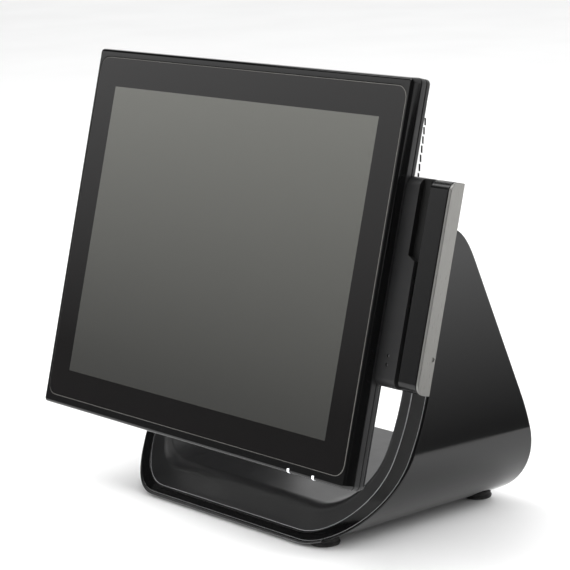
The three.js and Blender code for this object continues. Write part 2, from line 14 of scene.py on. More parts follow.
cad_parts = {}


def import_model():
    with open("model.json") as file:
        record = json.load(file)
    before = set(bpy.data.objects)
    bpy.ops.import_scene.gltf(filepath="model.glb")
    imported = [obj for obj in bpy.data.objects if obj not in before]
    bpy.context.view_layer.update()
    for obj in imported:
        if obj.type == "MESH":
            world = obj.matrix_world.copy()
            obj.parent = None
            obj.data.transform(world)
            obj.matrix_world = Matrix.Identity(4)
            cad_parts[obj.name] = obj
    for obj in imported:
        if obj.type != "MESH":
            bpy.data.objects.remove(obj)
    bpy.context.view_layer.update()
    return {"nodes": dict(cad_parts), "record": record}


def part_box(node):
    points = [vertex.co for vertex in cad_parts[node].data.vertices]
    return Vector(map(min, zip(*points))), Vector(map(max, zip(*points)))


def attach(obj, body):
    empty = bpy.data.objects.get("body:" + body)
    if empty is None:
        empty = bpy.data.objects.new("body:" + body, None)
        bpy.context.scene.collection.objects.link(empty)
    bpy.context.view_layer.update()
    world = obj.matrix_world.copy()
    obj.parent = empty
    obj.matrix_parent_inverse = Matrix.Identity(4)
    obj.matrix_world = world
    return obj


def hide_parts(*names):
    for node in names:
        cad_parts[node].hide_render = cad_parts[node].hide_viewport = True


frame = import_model()

MM = 0.001

# ---- driving dimensions, as in the CAD

GAP = 0.3
TILT = math.radians(15)
GLASS_CENTRE_HEIGHT = 207.5
PIVOT = Vector((0, 104.5, 201))

HEAD = {"half_width": 180, "half_height": 144, "radius": 4}
GLASS = {"half_width": 175.6, "half_height": 136.5, "radius": 9.5, "centre": 0.5, "thickness": 3}
WINDOW = {"half_width": 153, "half_height": 115, "radius": 2}
PANEL = {"half_width": 164, "half_height": 127.5, "radius": 2}
SCREEN = {"half_width": 152.05, "half_height": 114.05}
MIDDLE_FRAME = (8.3, 13)
REAR_FRAME = (13.3, 16.5)
PLATEAU = {"front": 15.1, "back": 19.5, "top": -62, "inset": 1}
CHASSIS = {"half_width": 161, "half_height": 125, "radius": 3}
COVER = {"half_width": 170, "half_height": 135, "front": 13.6, "back": 45, "wall": 2.5, "bevel": 7, "radius": 14,
         "lower_half_width": 146, "shoulder": -58}
SIDE_VENTS = {"count": 16, "pitch": 6.4, "top": 118.5, "front": 26, "width": 1.6, "height": 5, "slant": 1,
              "lean": 0.06}
BACK_VENTS = {"count": 15, "pitch": 7, "z": 96, "height": 34, "width": 2.4, "column": 62}
LENS = {"width": 2.2, "height": 4, "depth": 3, "places": {"power_lens": 119.6, "network_lens": 145.9}}
BUTTON = {"x": 128, "y": 29, "radius": 4.7, "flange": 6.4}
SHAFT = {"half_length": 139, "radius": 9, "bore": 9.3, "ring_radius": 15}
VESA = {"half_spacing": 50, "screw_radius": 2, "head_radius": 4}
COVER_SCREWS = {"x": 132, "z": 112, "radius": 1.5, "head_radius": 3}

READER = {
    "bottom": -69, "top": 77, "front": 9.5, "back": 21.7, "radius": 7,
    "inner": 180.5, "slot": 200, "slot_width": 3.5, "outer": 221.1, "plate": 223.6,
    "recess_x": 193.2, "recess_z": 23, "recess_end": 18.9, "recess_depth": 4,
    "light_x": 190.3, "upper_light": -47, "lower_light": -53.4, "screw_y": 19.5, "screw_z": -44,
}

STAND = {"half_width": 149, "radius": 62, "skin": 3, "bottom": 2, "seam": 107.5, "trim_depth": 19}
JOINT = {"half_width": 135, "radius": 53.5, "bottom": 8.3}
RIM = {
    "toe_y": -4.4, "toe_angle": 33.5, "bend_angle": 76, "top_angle": 85, "lower_radius": 184, "upper_radius": 500,
    "rear_y": 188.5, "corner_radius": 14.5, "rear_radius": 190, "rear_lean": 23.2, "rear_top": 202,
    "pull_rear": 38, "pull_front": 50,
}
TROUGH = {"half_width": 122.5, "radius": 41.5, "bottom": 24.5, "front_y": 20, "slope": math.atan2(4.8, 167)}
FOOT = {"x": 98.5, "front_y": 15, "rear_y": 174, "radius": 11.5, "clearance": 0.5}
PORT_BAY = {"half_width": 80, "bottom": 9.5, "top": 25, "front": 172, "middle": 17.25}

shaft_low, shaft_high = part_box("hinge_shaft")
ORIGIN = (shaft_low + shaft_high) / 2 - PIVOT * MM
STAND_FRAME = Matrix.Translation(ORIGIN)
HEAD_FRAME = (STAND_FRAME @ Matrix.Translation(Vector((0, 0, GLASS_CENTRE_HEIGHT)) * MM)
              @ Matrix.Rotation(-TILT, 4, "X"))

# ---- materials


class Nodes:
    """A material's node tree, with its shader, the object's coordinates and short calls for adding nodes."""

    def __init__(self, name):
        self.material = bpy.data.materials.new(name)
        self.material.use_nodes = True
        self.tree = self.material.node_tree
        self.shader = self.tree.nodes["Principled BSDF"]
        self.place = self.add("ShaderNodeTexCoord").outputs["Object"]

    def add(self, kind, **settings):
        node = self.tree.nodes.new(kind)
        for key, value in settings.items():
            setattr(node, key, value)
        return node

    def link(self, output, socket):
        self.tree.links.new(output, socket)

    def set(self, **values):
        for key, value in values.items():
            self.shader.inputs[key.replace("_", " ")].default_value = value

    def drive(self, **outputs):
        """Links outputs to the shader's own inputs."""
        for key, output in outputs.items():
            self.link(output, self.shader.inputs[key.replace("_", " ")])

    def noise(self, per_mm, detail=3, stretch=(1, 1, 1)):
        """Noise with about per_mm features to the millimetre."""
        mapping = self.add("ShaderNodeMapping")
        mapping.inputs["Scale"].default_value = stretch
        self.link(self.place, mapping.inputs["Vector"])
        noise = self.add("ShaderNodeTexNoise")
        noise.inputs["Scale"].default_value = per_mm / MM
        noise.inputs["Detail"].default_value = detail
        self.link(mapping.outputs["Vector"], noise.inputs["Vector"])
        return noise.outputs["Fac"]

    def ramp(self, factor, low, high, colour_low, colour_high):
        """Maps factor from low..high to two colours, or two grey values."""
        ramp = self.add("ShaderNodeValToRGB")
        for element, place, colour in zip(ramp.color_ramp.elements, (low, high), (colour_low, colour_high)):
            element.position = place
            element.color = (*([colour] * 3 if isinstance(colour, (int, float)) else colour), 1)
        self.link(factor, ramp.inputs["Fac"])
        return ramp.outputs["Color"]

    def math(self, operation, first, second):
        node = self.add("ShaderNodeMath", operation=operation)
        for socket, value in zip(node.inputs, (first, second)):
            if isinstance(value, (int, float)):
                socket.default_value = value
            else:
                self.link(value, socket)
        return node.outputs[0]

    def mix(self, factor, first, second):
        node = self.add("ShaderNodeMix", data_type="RGBA")
        for name, kind, value in (("Factor", "VALUE", factor), ("A", "RGBA", first), ("B", "RGBA", second)):
            socket = next(s for s in node.inputs if s.name == name and s.type == kind)
            if hasattr(value, "is_linked"):
                self.link(value, socket)
            else:
                socket.default_value = value if kind == "VALUE" else (*value, 1)
        return next(s for s in node.outputs if s.type == "RGBA")

    def map_range(self, value, from_low, from_high, to_low, to_high):
        node = self.add("ShaderNodeMapRange")
        for name, number in (("From Min", from_low), ("From Max", from_high), ("To Min", to_low), ("To Max", to_high)):
            node.inputs[name].default_value = number
        self.link(value, node.inputs["Value"])
        return node.outputs["Result"]

    def bump(self, height, depth_mm):
        """Adds a bump to those the shader already has."""
        node = self.add("ShaderNodeBump")
        node.inputs["Strength"].default_value = 1
        node.inputs["Distance"].default_value = depth_mm * MM
        self.link(height, node.inputs["Height"])
        previous = self.shader.inputs["Normal"]
        if previous.is_linked:
            self.link(previous.links[0].from_socket, node.inputs["Normal"])
        self.link(node.outputs["Normal"], previous)


def plastic(name, colour, roughness, grain=0.0, grain_per_mm=2.0, variation=0.15, specular=0.5):
    """Moulded plastic: faint blotches in colour, handling smudges in roughness and a fine moulded grain."""
    n = Nodes(name)
    cloud = n.noise(0.02, 4)
    dark = tuple(c * (1 - variation) for c in colour)
    light = tuple(min(1, c * (1 + variation)) for c in colour)
    n.drive(Base_Color=n.ramp(cloud, 0.35, 0.65, dark, light))
    smudge = n.noise(0.035, 5, (1, 1, 1.6))
    n.drive(Roughness=n.ramp(smudge, 0.35, 0.75, roughness * 0.88, roughness * 1.15))
    if grain:
        n.bump(n.noise(grain_per_mm, 2), grain)
    n.set(Specular_IOR_Level=specular)
    return n.material


def gloss_black(name):
    """Piano-black plastic with a faint orange peel, wiping marks and specks of dust."""
    n = Nodes(name)
    n.set(IOR=1.5)
    dust = n.ramp(n.noise(0.9, 2), 0.74, 0.8, 0.0, 1.0)
    n.drive(Base_Color=n.mix(n.math("MULTIPLY", dust, 0.04), (0.003, 0.003, 0.0031), (0.2, 0.19, 0.18)))
    wipe = n.noise(0.02, 5, (1, 0.25, 1))
    n.drive(Roughness=n.ramp(wipe, 0.4, 0.7, 0.05, 0.1))
    n.bump(n.noise(0.12, 2), 0.004)
    return n.material


def brushed(name, colour, roughness, stretch, metallic=1.0):
    """Metal with a brushing direction: the noise is long along the axis with the small factor."""
    n = Nodes(name)
    n.set(Metallic=metallic)
    streaks = n.noise(3, 3, stretch)
    dark = tuple(c * 0.88 for c in colour)
    n.drive(Base_Color=n.ramp(streaks, 0.3, 0.7, dark, colour))
    n.drive(Roughness=n.ramp(streaks, 0.3, 0.7, roughness * 0.8, roughness * 1.2))
    n.bump(streaks, 0.01)
    return n.material


def screen_glass(name):
    """Touch glass: inside a black printed border, the panel area is painted grey as painted light, lighter at the top
    and darker at the bottom.
    """
    n = Nodes(name)
    n.set(IOR=1.5)
    split = n.add("ShaderNodeSeparateXYZ")
    n.link(n.place, split.inputs["Vector"])
    inside = None
    for axis, half in (("X", SCREEN["half_width"]), ("Z", SCREEN["half_height"])):
        reach = n.math("LESS_THAN", n.math("ABSOLUTE", split.outputs[axis], 0), half * MM)
        inside = reach if inside is None else n.math("MULTIPLY", inside, reach)
    on_front = n.math("LESS_THAN", split.outputs["Y"], 0.2 * MM)
    inside = n.math("MULTIPLY", inside, on_front)
    height = n.math("ADD", n.math("DIVIDE", split.outputs["Z"], 2 * SCREEN["half_height"] * MM), 0.5)
    # Painted light: the panel's grey is lighter at the top and darker at the bottom.
    panel = n.ramp(height, 0.0, 1.0, (0.0433, 0.0433, 0.041), (0.1143, 0.1143, 0.1035))
    n.drive(Base_Color=n.mix(inside, (0.0048, 0.0043, 0.0043), panel))
    smear = n.noise(0.015, 5, (1, 1, 0.5))
    n.drive(Roughness=n.ramp(smear, 0.4, 0.75, 0.05, 0.09))
    return n.material


def rubber(name):
    """Matt black rubber with a coarse moulded grain and pale dust."""
    n = Nodes(name)
    dust = n.noise(0.3, 5)
    n.drive(Base_Color=n.ramp(dust, 0.4, 0.8, (0.009, 0.009, 0.009), (0.035, 0.034, 0.033)))
    n.set(Roughness=0.7)
    n.bump(n.noise(1.6, 3), 0.06)
    return n.material


def light_pipe(name):
    """Milky plastic that glows white."""
    n = Nodes(name)
    glow = n.ramp(n.noise(0.5, 2), 0.2, 0.8, (0.9, 0.94, 1.0), (1.0, 1.0, 1.0))
    n.drive(Base_Color=glow)
    n.drive(Emission_Color=glow)
    n.set(Roughness=0.25, Emission_Strength=0.9)
    return n.material


def circuit_board(name):
    """Green solder mask over copper tracks."""
    n = Nodes(name)
    brick = n.add("ShaderNodeTexBrick")
    brick.inputs["Scale"].default_value = 90
    brick.inputs["Mortar Size"].default_value = 0.03
    turned = n.add("ShaderNodeMapping")
    turned.inputs["Rotation"].default_value = (math.pi / 2, 0, 0)
    n.link(n.place, turned.inputs["Vector"])
    n.link(turned.outputs["Vector"], brick.inputs["Vector"])
    brick.inputs["Color1"].default_value = (0.02, 0.11, 0.05, 1)
    brick.inputs["Color2"].default_value = (0.03, 0.15, 0.07, 1)
    brick.inputs["Mortar"].default_value = (0.06, 0.24, 0.1, 1)
    n.drive(Base_Color=brick.outputs["Color"])
    n.set(Roughness=0.35)
    n.bump(brick.outputs["Fac"], 0.03)
    return n.material


GLOSS = gloss_black("gloss_black")
SATIN_LINER = plastic("satin_liner", (0.01, 0.01, 0.0105), 0.32, 0.002, 2.5)
SATIN_FRAME = plastic("satin_frame", (0.012, 0.012, 0.0125), 0.33, 0.01, 3.0)
SATIN_PAN = plastic("satin_pan", (0.018, 0.018, 0.018), 0.5, 0.03, 1.5)
TEXTURED = plastic("textured_black", (0.014, 0.014, 0.0145), 0.45, 0.035, 2.2)
SATIN_READER = plastic("satin_reader", (0.003, 0.003, 0.0032), 0.24, 0.012, 2.6, specular=0.45)
PALE = plastic("pale_plastic", (0.92, 0.92, 0.91), 0.45, 0.03, 1.8, variation=0.03)
SILVER = brushed("silver_plate", (0.32, 0.316, 0.302), 0.34, (1, 1, 0.04), 0.75)
STEEL = brushed("steel", (0.5, 0.5, 0.51), 0.3, (0.05, 1, 1))
ALUMINIUM = brushed("aluminium", (0.68, 0.69, 0.7), 0.35, (1, 1, 0.05))
BLACK_STEEL = plastic("black_powder_coat", (0.022, 0.022, 0.024), 0.42, 0.05, 1.2)
SCREEN_GLASS = screen_glass("screen_glass")
RUBBER = rubber("rubber")
LIGHT = light_pipe("light_pipe")
BOARD = circuit_board("circuit_board")

# Painted shade: near-black put on the walls of cut openings and recesses, standing in for the shade in them.
RECESS_SHADE = plastic("painted_recess_shade", (0.002, 0.002, 0.002), 0.6)
GLOSS_BACK = plastic("gloss_back", (0.008, 0.008, 0.0085), 0.16)
UNLIT = plastic("unlit_lens", (0.06, 0.06, 0.062), 0.15)
# Painted highlight: a pale grey put on thin strips along the shell's and liner's edges, where light catches them.
PAINTED_EDGE_HIGHLIGHT = plastic("painted_edge_highlight", (0.42, 0.42, 0.43), 0.25)
# Painted reflection: the trim's lip is a lighter grey than the gloss band, with a rougher finish, standing in for the
# light it reflects.
LIP_PAINTED_SHEEN = plastic("lip_painted_sheen", (0.03, 0.03, 0.031), 0.3)
# Painted highlight: a paler grey on the glass's rounded front edge.
GLASS_EDGE_HIGHLIGHT = plastic("glass_edge_painted_highlight", (0.16, 0.155, 0.145), 0.2)

BY_SLOT = {
    "gloss_shell": GLOSS, "satin_shell": SATIN_LINER, "textured_black": TEXTURED, "pale_plastic": PALE,
    "silver_plate": SILVER, "steel": STEEL, "black_steel": BLACK_STEEL, "screen_glass": SCREEN_GLASS,
    "light_pipe": LIGHT, "rubber": RUBBER, "circuit_board": BOARD, "aluminium": ALUMINIUM,
}
SLOT_OF = {s["node"]: s["material_slot"] for s in frame["record"]["subparts"]}

# ---- mesh tools


def add_object(name, data, where=None):
    """A new object in the scene."""
    made = bpy.data.objects.new(name, data)
    bpy.context.scene.collection.objects.link(made)
    if where is not None:
        made.matrix_world = where
    return made


def make_object(name, points, faces, where, materials=(), paint=None):
    """A closed mesh from points in millimetres in the frame called where. Paint holds each face's material."""
    mesh = bpy.data.meshes.new(name)
    mesh.from_pydata([Vector(p) * MM for p in points], [], faces)
    for material in materials:
        mesh.materials.append(material)
    for polygon, index in zip(mesh.polygons, paint or ()):
        polygon.material_index = index
    work = bmesh.new()
    work.from_mesh(mesh)
    bmesh.ops.remove_doubles(work, verts=work.verts, dist=1e-6)
    bmesh.ops.dissolve_degenerate(work, edges=work.edges, dist=1e-7)
    bmesh.ops.recalc_face_normals(work, faces=work.faces)
    work.to_mesh(mesh)
    work.free()
    return add_object(name, mesh, where)


def loft(name, rings, where, closed=False, caps=True, materials=(), choose=None):
    """Joins rings of equally many points. With closed the last ring joins the first, as a frame's do.

    Choose gives a face's place in materials from its ring and its place in the ring.
    """
    count = len(rings[0])
    points = [p for ring in rings for p in ring]
    faces, paint = [], []
    for i in range(len(rings) if closed else len(rings) - 1):
        low = i * count
        high = (i + 1) % len(rings) * count
        for j in range(count):
            k = (j + 1) % count
            faces.append((low + j, low + k, high + k, high + j))
            paint.append(choose(i, j) if choose else 0)
    if caps and not closed:
        faces.append(tuple(range(count)))
        faces.append(tuple((len(rings) - 1) * count + j for j in range(count)))
    return make_object(name, points, faces, where, materials, paint)


def arc(centre_u, centre_v, radius, start, end, steps):
    """Points on an arc, with its angles in degrees."""
    angles = [math.radians(start + (end - start) * i / steps) for i in range(steps + 1)]
    return [(centre_u + radius * math.cos(a), centre_v + radius * math.sin(a)) for a in angles]


def rounded(half_width, half_height, radius, centre_x=0, centre_z=0, steps=8):
    """A rectangle with round corners as (x, z) points."""
    x, z = half_width - radius, half_height - radius
    corners = ((x, -z, -90), (x, z, 0), (-x, z, 90), (-x, -z, 180))
    return [p for cx, cz, start in corners
            for p in arc(centre_x + cx, centre_z + cz, radius, start, start + 90, steps)]


def rect_ring(size, y, inset=0):
    """A ring at depth y round one of the head's rectangles, moved inwards by inset."""
    outline = rounded(size["half_width"] - inset, size["half_height"] - inset, max(size.get("radius", 7) - inset, 0.5),
                      0, size.get("centre", 0))
    return [(x, y, z) for x, z in outline]


def prism(name, outline, axis, low, high, where):
    """An outline extruded along x, y or z. The outline's points are the other two coordinates, in that order."""
    place = {"x": lambda u, v, t: (t, u, v), "y": lambda u, v, t: (u, t, v), "z": lambda u, v, t: (u, v, t)}[axis]
    return loft(name, [[place(u, v, t) for u, v in outline] for t in (low, high)], where)


def turned(name, profile, axis, centre, where, steps=48, closed=False):
    """A solid of revolution: profile is (radius, place along the axis). With closed it is a ring with a bore."""
    place = {"x": lambda a, b, t: (t, centre[1] + a, centre[2] + b),
             "y": lambda a, b, t: (centre[0] + a, t, centre[2] + b),
             "z": lambda a, b, t: (centre[0] + a, centre[1] + b, t)}[axis]
    angles = [2 * math.pi * i / steps for i in range(steps)]
    rings = [[place(radius * math.cos(a), radius * math.sin(a), t) for a in angles] for radius, t in profile]
    return loft(name, rings, where, closed)


def box(name, low, high, where):
    outline = ((low[0], low[1]), (high[0], low[1]), (high[0], high[1]), (low[0], high[1]))
    return prism(name, outline, "z", low[2], high[2], where)


def settle(obj):
    """Applies an object's modifiers."""
    bpy.context.view_layer.update()
    mesh = bpy.data.meshes.new_from_object(obj.evaluated_get(bpy.context.evaluated_depsgraph_get()))
    obj.modifiers.clear()
    obj.data = mesh
    return obj


def boolean(obj, operation, *tools):
    """Cuts or joins tools, which are then removed."""
    for tool in tools:
        modifier = obj.modifiers.new("boolean", "BOOLEAN")
        modifier.operation = operation
        modifier.solver = "EXACT"
        modifier.object = tool
    settle(obj)
    for tool in tools:
        bpy.data.objects.remove(tool)
    return obj


def cut_painted(obj, tool, outside, inside):
    """Cuts with a tool whose faces leave another material on the cut's walls; the callers give it the near-black
    painted shade.
    """
    for part, index in ((obj, 0), (tool, 1)):
        part.data.materials.clear()
        for material in (outside, inside):
            part.data.materials.append(material)
        for polygon in part.data.polygons:
            polygon.material_index = index
    boolean(obj, "DIFFERENCE", tool)


def merged(objects):
    """One object that holds several separate solids."""
    work = bmesh.new()
    for obj in objects:
        work.from_mesh(obj.data)
    work.to_mesh(objects[0].data)
    work.free()
    for obj in objects[1:]:
        bpy.data.objects.remove(obj)
    return objects[0]


def bevel(obj, width, segments=3, angle=30):
    """Rounds every edge sharper than angle."""
    modifier = obj.modifiers.new("bevel", "BEVEL")
    modifier.width = width * MM
    modifier.segments = segments
    modifier.limit_method = "ANGLE"
    modifier.angle_limit = math.radians(angle)
    modifier.use_clamp_overlap = True
    modifier.miter_outer = "MITER_ARC"
    return obj


def dress(obj, node, body, material=None, smooth=35):
    """Shades a finished piece, rides it on its body and lets it stand for its CAD node."""
    if not obj.data.materials:
        obj.data.materials.append(material or BY_SLOT[SLOT_OF[node]])
    settle(obj)
    for polygon in obj.data.polygons:
        polygon.use_smooth = True
    obj.data.set_sharp_from_angle(angle=math.radians(smooth))
    weighted = obj.modifiers.new("normals", "WEIGHTED_NORMAL")
    weighted.keep_sharp = True
    weighted.weight = 80
    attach(obj, body)
    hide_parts(node)
    return obj


# ---- the stand's side view and its U


def bezier(points, steps):
    """Points on a cubic curve."""
    made = []
    for i in range(steps + 1):
        t = i / steps
        weights = ((1 - t) ** 3, 3 * t * (1 - t) ** 2, 3 * t * t * (1 - t), t ** 3)
        made.append(tuple(sum(w * p[k] for w, p in zip(weights, points)) for k in (0, 1)))
    return made


def side_view():
    """The stand's outline in (y, z): (front, rear), both from the bottom to the apex of the arm."""
    toe = Vector((RIM["toe_y"], STAND["bottom"]))
    angle = math.radians(RIM["toe_angle"])
    lower = toe + RIM["lower_radius"] * Vector((-math.sin(angle), math.cos(angle)))
    bend = math.radians(RIM["bend_angle"] - 90)
    upper = lower + (RIM["lower_radius"] - RIM["upper_radius"]) * Vector((math.cos(bend), math.sin(bend)))
    corner_z = STAND["bottom"] + RIM["corner_radius"]
    rear_arc_y = RIM["rear_y"] - RIM["rear_radius"]
    lean = math.radians(RIM["rear_lean"])
    front = arc(*lower, RIM["lower_radius"], RIM["toe_angle"] - 96, RIM["bend_angle"] - 90, 40)
    front += arc(*upper, RIM["upper_radius"], RIM["bend_angle"] - 90, RIM["top_angle"] - 90, 24)[1:]
    rear = arc(RIM["rear_y"] - RIM["corner_radius"], corner_z, RIM["corner_radius"], -90, 0, 16)
    rear += arc(rear_arc_y, corner_z, RIM["rear_radius"], 0, RIM["rear_lean"], 20)[1:]
    top_y = rear[-1][0] - (RIM["rear_top"] - rear[-1][1]) * math.tan(lean)
    rear += [(rear[-1][0] + (top_y - rear[-1][0]) * i / 12, rear[-1][1] + (RIM["rear_top"] - rear[-1][1]) * i / 12)
             for i in range(1, 13)]
    top = math.radians(RIM["top_angle"] - 90)
    apex = bezier((
        (top_y, RIM["rear_top"]),
        (top_y - RIM["pull_rear"] * math.sin(lean), RIM["rear_top"] + RIM["pull_rear"] * math.cos(lean)),
        (front[-1][0] - RIM["pull_front"] * math.sin(top), front[-1][1] + RIM["pull_front"] * math.cos(top)),
        front[-1],
    ), 96)
    highest = max(range(len(apex)), key=lambda i: apex[i][1])
    return front + apex[highest:-1][::-1], rear + apex[1:highest + 1]


SIDES = dict(zip(("front", "rear"), side_view()))
MOVED = {}


def rim_chain(side, inset):
    """One side of the outline moved inwards by inset, as rising (z, y) pairs."""
    key = (side, round(inset, 3))
    if key not in MOVED:
        chain = SIDES[side]
        inward = 1 if side == "front" else -1
        pairs = []
        for i, (y, z) in enumerate(chain):
            before, after = chain[max(i - 1, 0)], chain[min(i + 1, len(chain) - 1)]
            along = Vector((after[0] - before[0], after[1] - before[1])).normalized()
            if i == len(chain) - 1:
                along = Vector((inward, 0))
            pairs.append((z - inward * along.x * inset, y + inward * along.y * inset))
        MOVED[key] = [p for i, p in enumerate(pairs) if i == 0 or p[0] > max(q[0] for q in pairs[:i])]
    return MOVED[key]


def rim_y(side, inset, z):
    """Where that outline is at height z."""
    chain = rim_chain(side, inset)
    if z >= chain[-1][0]:
        return chain[-1][1]
    for (z0, y0), (z1, y1) in zip(chain, chain[1:]):
        if z <= z1:
            return y0 + (y1 - y0) * (z - z0) / (z1 - z0)
    return chain[-1][1]


def grown(u, outwards, slope=0):
    """A U moved outwards. Slope is 1 where its floor rises towards the back."""
    return {"half_width": u["half_width"] + outwards, "radius": u["radius"] + outwards,
            "bottom": u["bottom"] - outwards, "slope": slope}


def outer_u(inset):
    return grown(STAND, -inset)


def joint_u(outwards):
    """The line where the liner meets the outer shell."""
    return grown(JOINT, outwards)


def trough_u(outwards):
    return grown(TROUGH, outwards, 1)


CORNER_STEPS, ARM_STEPS, BOTTOM_STEPS = 14, 34, 6


def u_columns(kind):
    """Places along the U: (part, share) from the left arm's apex to the right one's, or a piece of that."""
    corner = [("corner", i / CORNER_STEPS) for i in range(CORNER_STEPS + 1)]
    right = corner + [("arm", i / ARM_STEPS) for i in range(1, ARM_STEPS + 1)]
    if kind == "side":
        return [(1, *c) for c in right]
    bottom = [(0, "bottom", i / BOTTOM_STEPS) for i in range(1, BOTTOM_STEPS)]
    if kind == "middle":
        return [(-1, *c) for c in corner[::-1]] + bottom + [(1, *c) for c in corner]
    return [(-1, *c) for c in right[::-1]] + bottom + [(1, *c) for c in right]


def seam_angle(u, seam):
    return math.asin((seam - u["half_width"] + u["radius"]) / u["radius"])


def u_point(column, kind, u, side, inset_arm, inset_base=None, cut_y=None):
    """A point of a section at a place along the U."""
    sign, part, share = column
    seam = STAND["seam"] + GAP / 2 * (1 if kind == "side" else -1)
    start, end = {"side": (seam_angle(u, seam), math.pi / 2), "middle": (0, seam_angle(u, seam)),
                  "whole": (0, math.pi / 2)}[kind]
    base = inset_arm if inset_base is None else inset_base
    flat = u["half_width"] - u["radius"]
    rise = 0
    if part == "bottom":
        x, z, blend = flat * (2 * share - 1), u["bottom"], 0
    elif part == "corner":
        angle = start + (end - start) * share
        x = sign * (flat + u["radius"] * math.sin(angle))
        z = u["bottom"] + u["radius"] * (1 - math.cos(angle))
        blend = math.sin(angle)
    else:
        x, blend = sign * u["half_width"], 1
        rise = math.sin(share * math.pi / 2)
        z = u["bottom"] + u["radius"]
    inset = base + (inset_arm - base) * blend
    if rise:
        z += (rim_chain(side, inset)[-1][0] - z) * rise
    level = z
    for _ in range(4 if u["slope"] else 1):
        y = rim_y(side, inset, z) if cut_y is None else cut_y
        z = level + u["slope"] * math.tan(TROUGH["slope"]) * (y - TROUGH["front_y"]) * (1 - rise)
    return x, y, z


def u_solid(name, kind, section, node, material=None, mirror=False, cuts=(), lit=(), lip=()):
    """A closed section swept along the U. Lit holds the section's steps that get the pale painted highlight, lip those
    painted a lighter grey with a rougher finish as a painted reflection.
    """
    rings = []
    for column in u_columns(kind):
        ring = [u_point(column, kind, *spec) for spec in section]
        rings.append([(-x, y, z) for x, y, z in ring] if mirror else ring)
    materials = (material or BY_SLOT[SLOT_OF[node]], PAINTED_EDGE_HIGHLIGHT, LIP_PAINTED_SHEEN)
    made = loft(name, rings, STAND_FRAME, materials=materials, choose=lambda i, j: 1 if j in lit else 2 * (j in lip))
    if cuts:
        boolean(made, "DIFFERENCE", *cuts)
    dress(made, node, "stand")


def quarter(radius, steps=5):
    """(distance along one face, depth below it) round a quarter circle from one face to the next."""
    return [(radius * (1 - math.sin(a)), radius * (1 - math.cos(a)))
            for a in (math.pi / 2 * i / steps for i in range(steps + 1))]


GROOVE = 1.8     # the groove's distance from the shell's outer face
SET_BACK = 1.8   # how far the band's outer edge lies behind its inner edge
EDGE = 2.0       # radius where the lip turns into the flank
SHELL_HIGHLIGHT_STEPS = (5,)           # the front band's step painted as a pale line beside the groove, a painted highlight
TRIM_HIGHLIGHT_STEPS = (14,)           # the lower edge of the trim's lip, painted pale as a painted highlight
# The trim lip's steps, painted a lighter grey as a painted reflection.
TRIM_SHEEN_STEPS = (10, 11, 12, 13)


def front_band():
    """The shell's front rim, from the joint with the liner over the band, groove and lip to the flank."""
    section = [(joint_u(0), "front", 3), (joint_u(0), "front", 0.4), (joint_u(0.12), "front", 0.12),
               (joint_u(0.4), "front", 0)]
    steps = ((0.75, 0.0), (0.35, 0.04), (0.1, 0.3), (0, 0.8), (-0.35, 0.8), (-0.4, 0.35), (-0.55, 0.1))
    section += [(outer_u(GROOVE + along), "front", SET_BACK + depth, SET_BACK * 0.4 + depth * 0.8)
                for along, depth in steps]
    lip = GROOVE - 0.65
    for along, depth in quarter(1.0, 6):
        section.append((outer_u(lip * along), "front", SET_BACK + 0.05 + depth * EDGE,
                        SET_BACK * 0.4 + 0.05 + depth * EDGE * 0.35))
    return section


def rear_band():
    """The shell's rear rim, from the flank to the joint with the liner."""
    section = [(outer_u(along), "rear", depth) for along, depth in quarter(EDGE)[::-1]]
    return section + [(joint_u(0.4), "rear", 0), (joint_u(0.12), "rear", 0.12), (joint_u(0), "rear", 0.4),
                      (joint_u(0), "rear", 3)]


def side_shells():
    section = front_band() + rear_band() + [(outer_u(STAND["skin"]), "rear", 3), (outer_u(STAND["skin"]), "front", 3)]
    # The band's step beside the groove gets the pale painted highlight.
    u_solid("side_shell_right", "side", section, "right_side_shell", lit=SHELL_HIGHLIGHT_STEPS)
    u_solid("side_shell_left", "side", section, "left_side_shell", mirror=True, lit=SHELL_HIGHLIGHT_STEPS)


def front_trim():
    depth = STAND["trim_depth"]
    section = front_band() + [
        (outer_u(0), "front", 0, 0, depth - 0.4), (outer_u(0.4), "front", 0, 0, depth),
        (outer_u(STAND["skin"]), "front", 0, 0, depth), (outer_u(STAND["skin"]), "front", 3),
    ]
    # The step beside the groove and the lip's lower edge get the pale painted highlight; the lip gets the lighter
    # painted reflection.
    u_solid("trim_front", "middle", section, "front_trim", lit=SHELL_HIGHLIGHT_STEPS + TRIM_HIGHLIGHT_STEPS, lip=TRIM_SHEEN_STEPS)


def base_pan():
    start = STAND["trim_depth"] + GAP
    section = [(outer_u(0.4), "rear", 0, 0, start), (outer_u(0), "rear", 0, 0, start + 0.4)] + rear_band()
    section += [(outer_u(STAND["skin"]), "rear", 3), (outer_u(STAND["skin"]), "rear", 0, 0, start)]
    u_solid("pan_base", "middle", section, "base_pan", SATIN_PAN)


CREASE = 5.0     # radius where the rim rolls into the trough


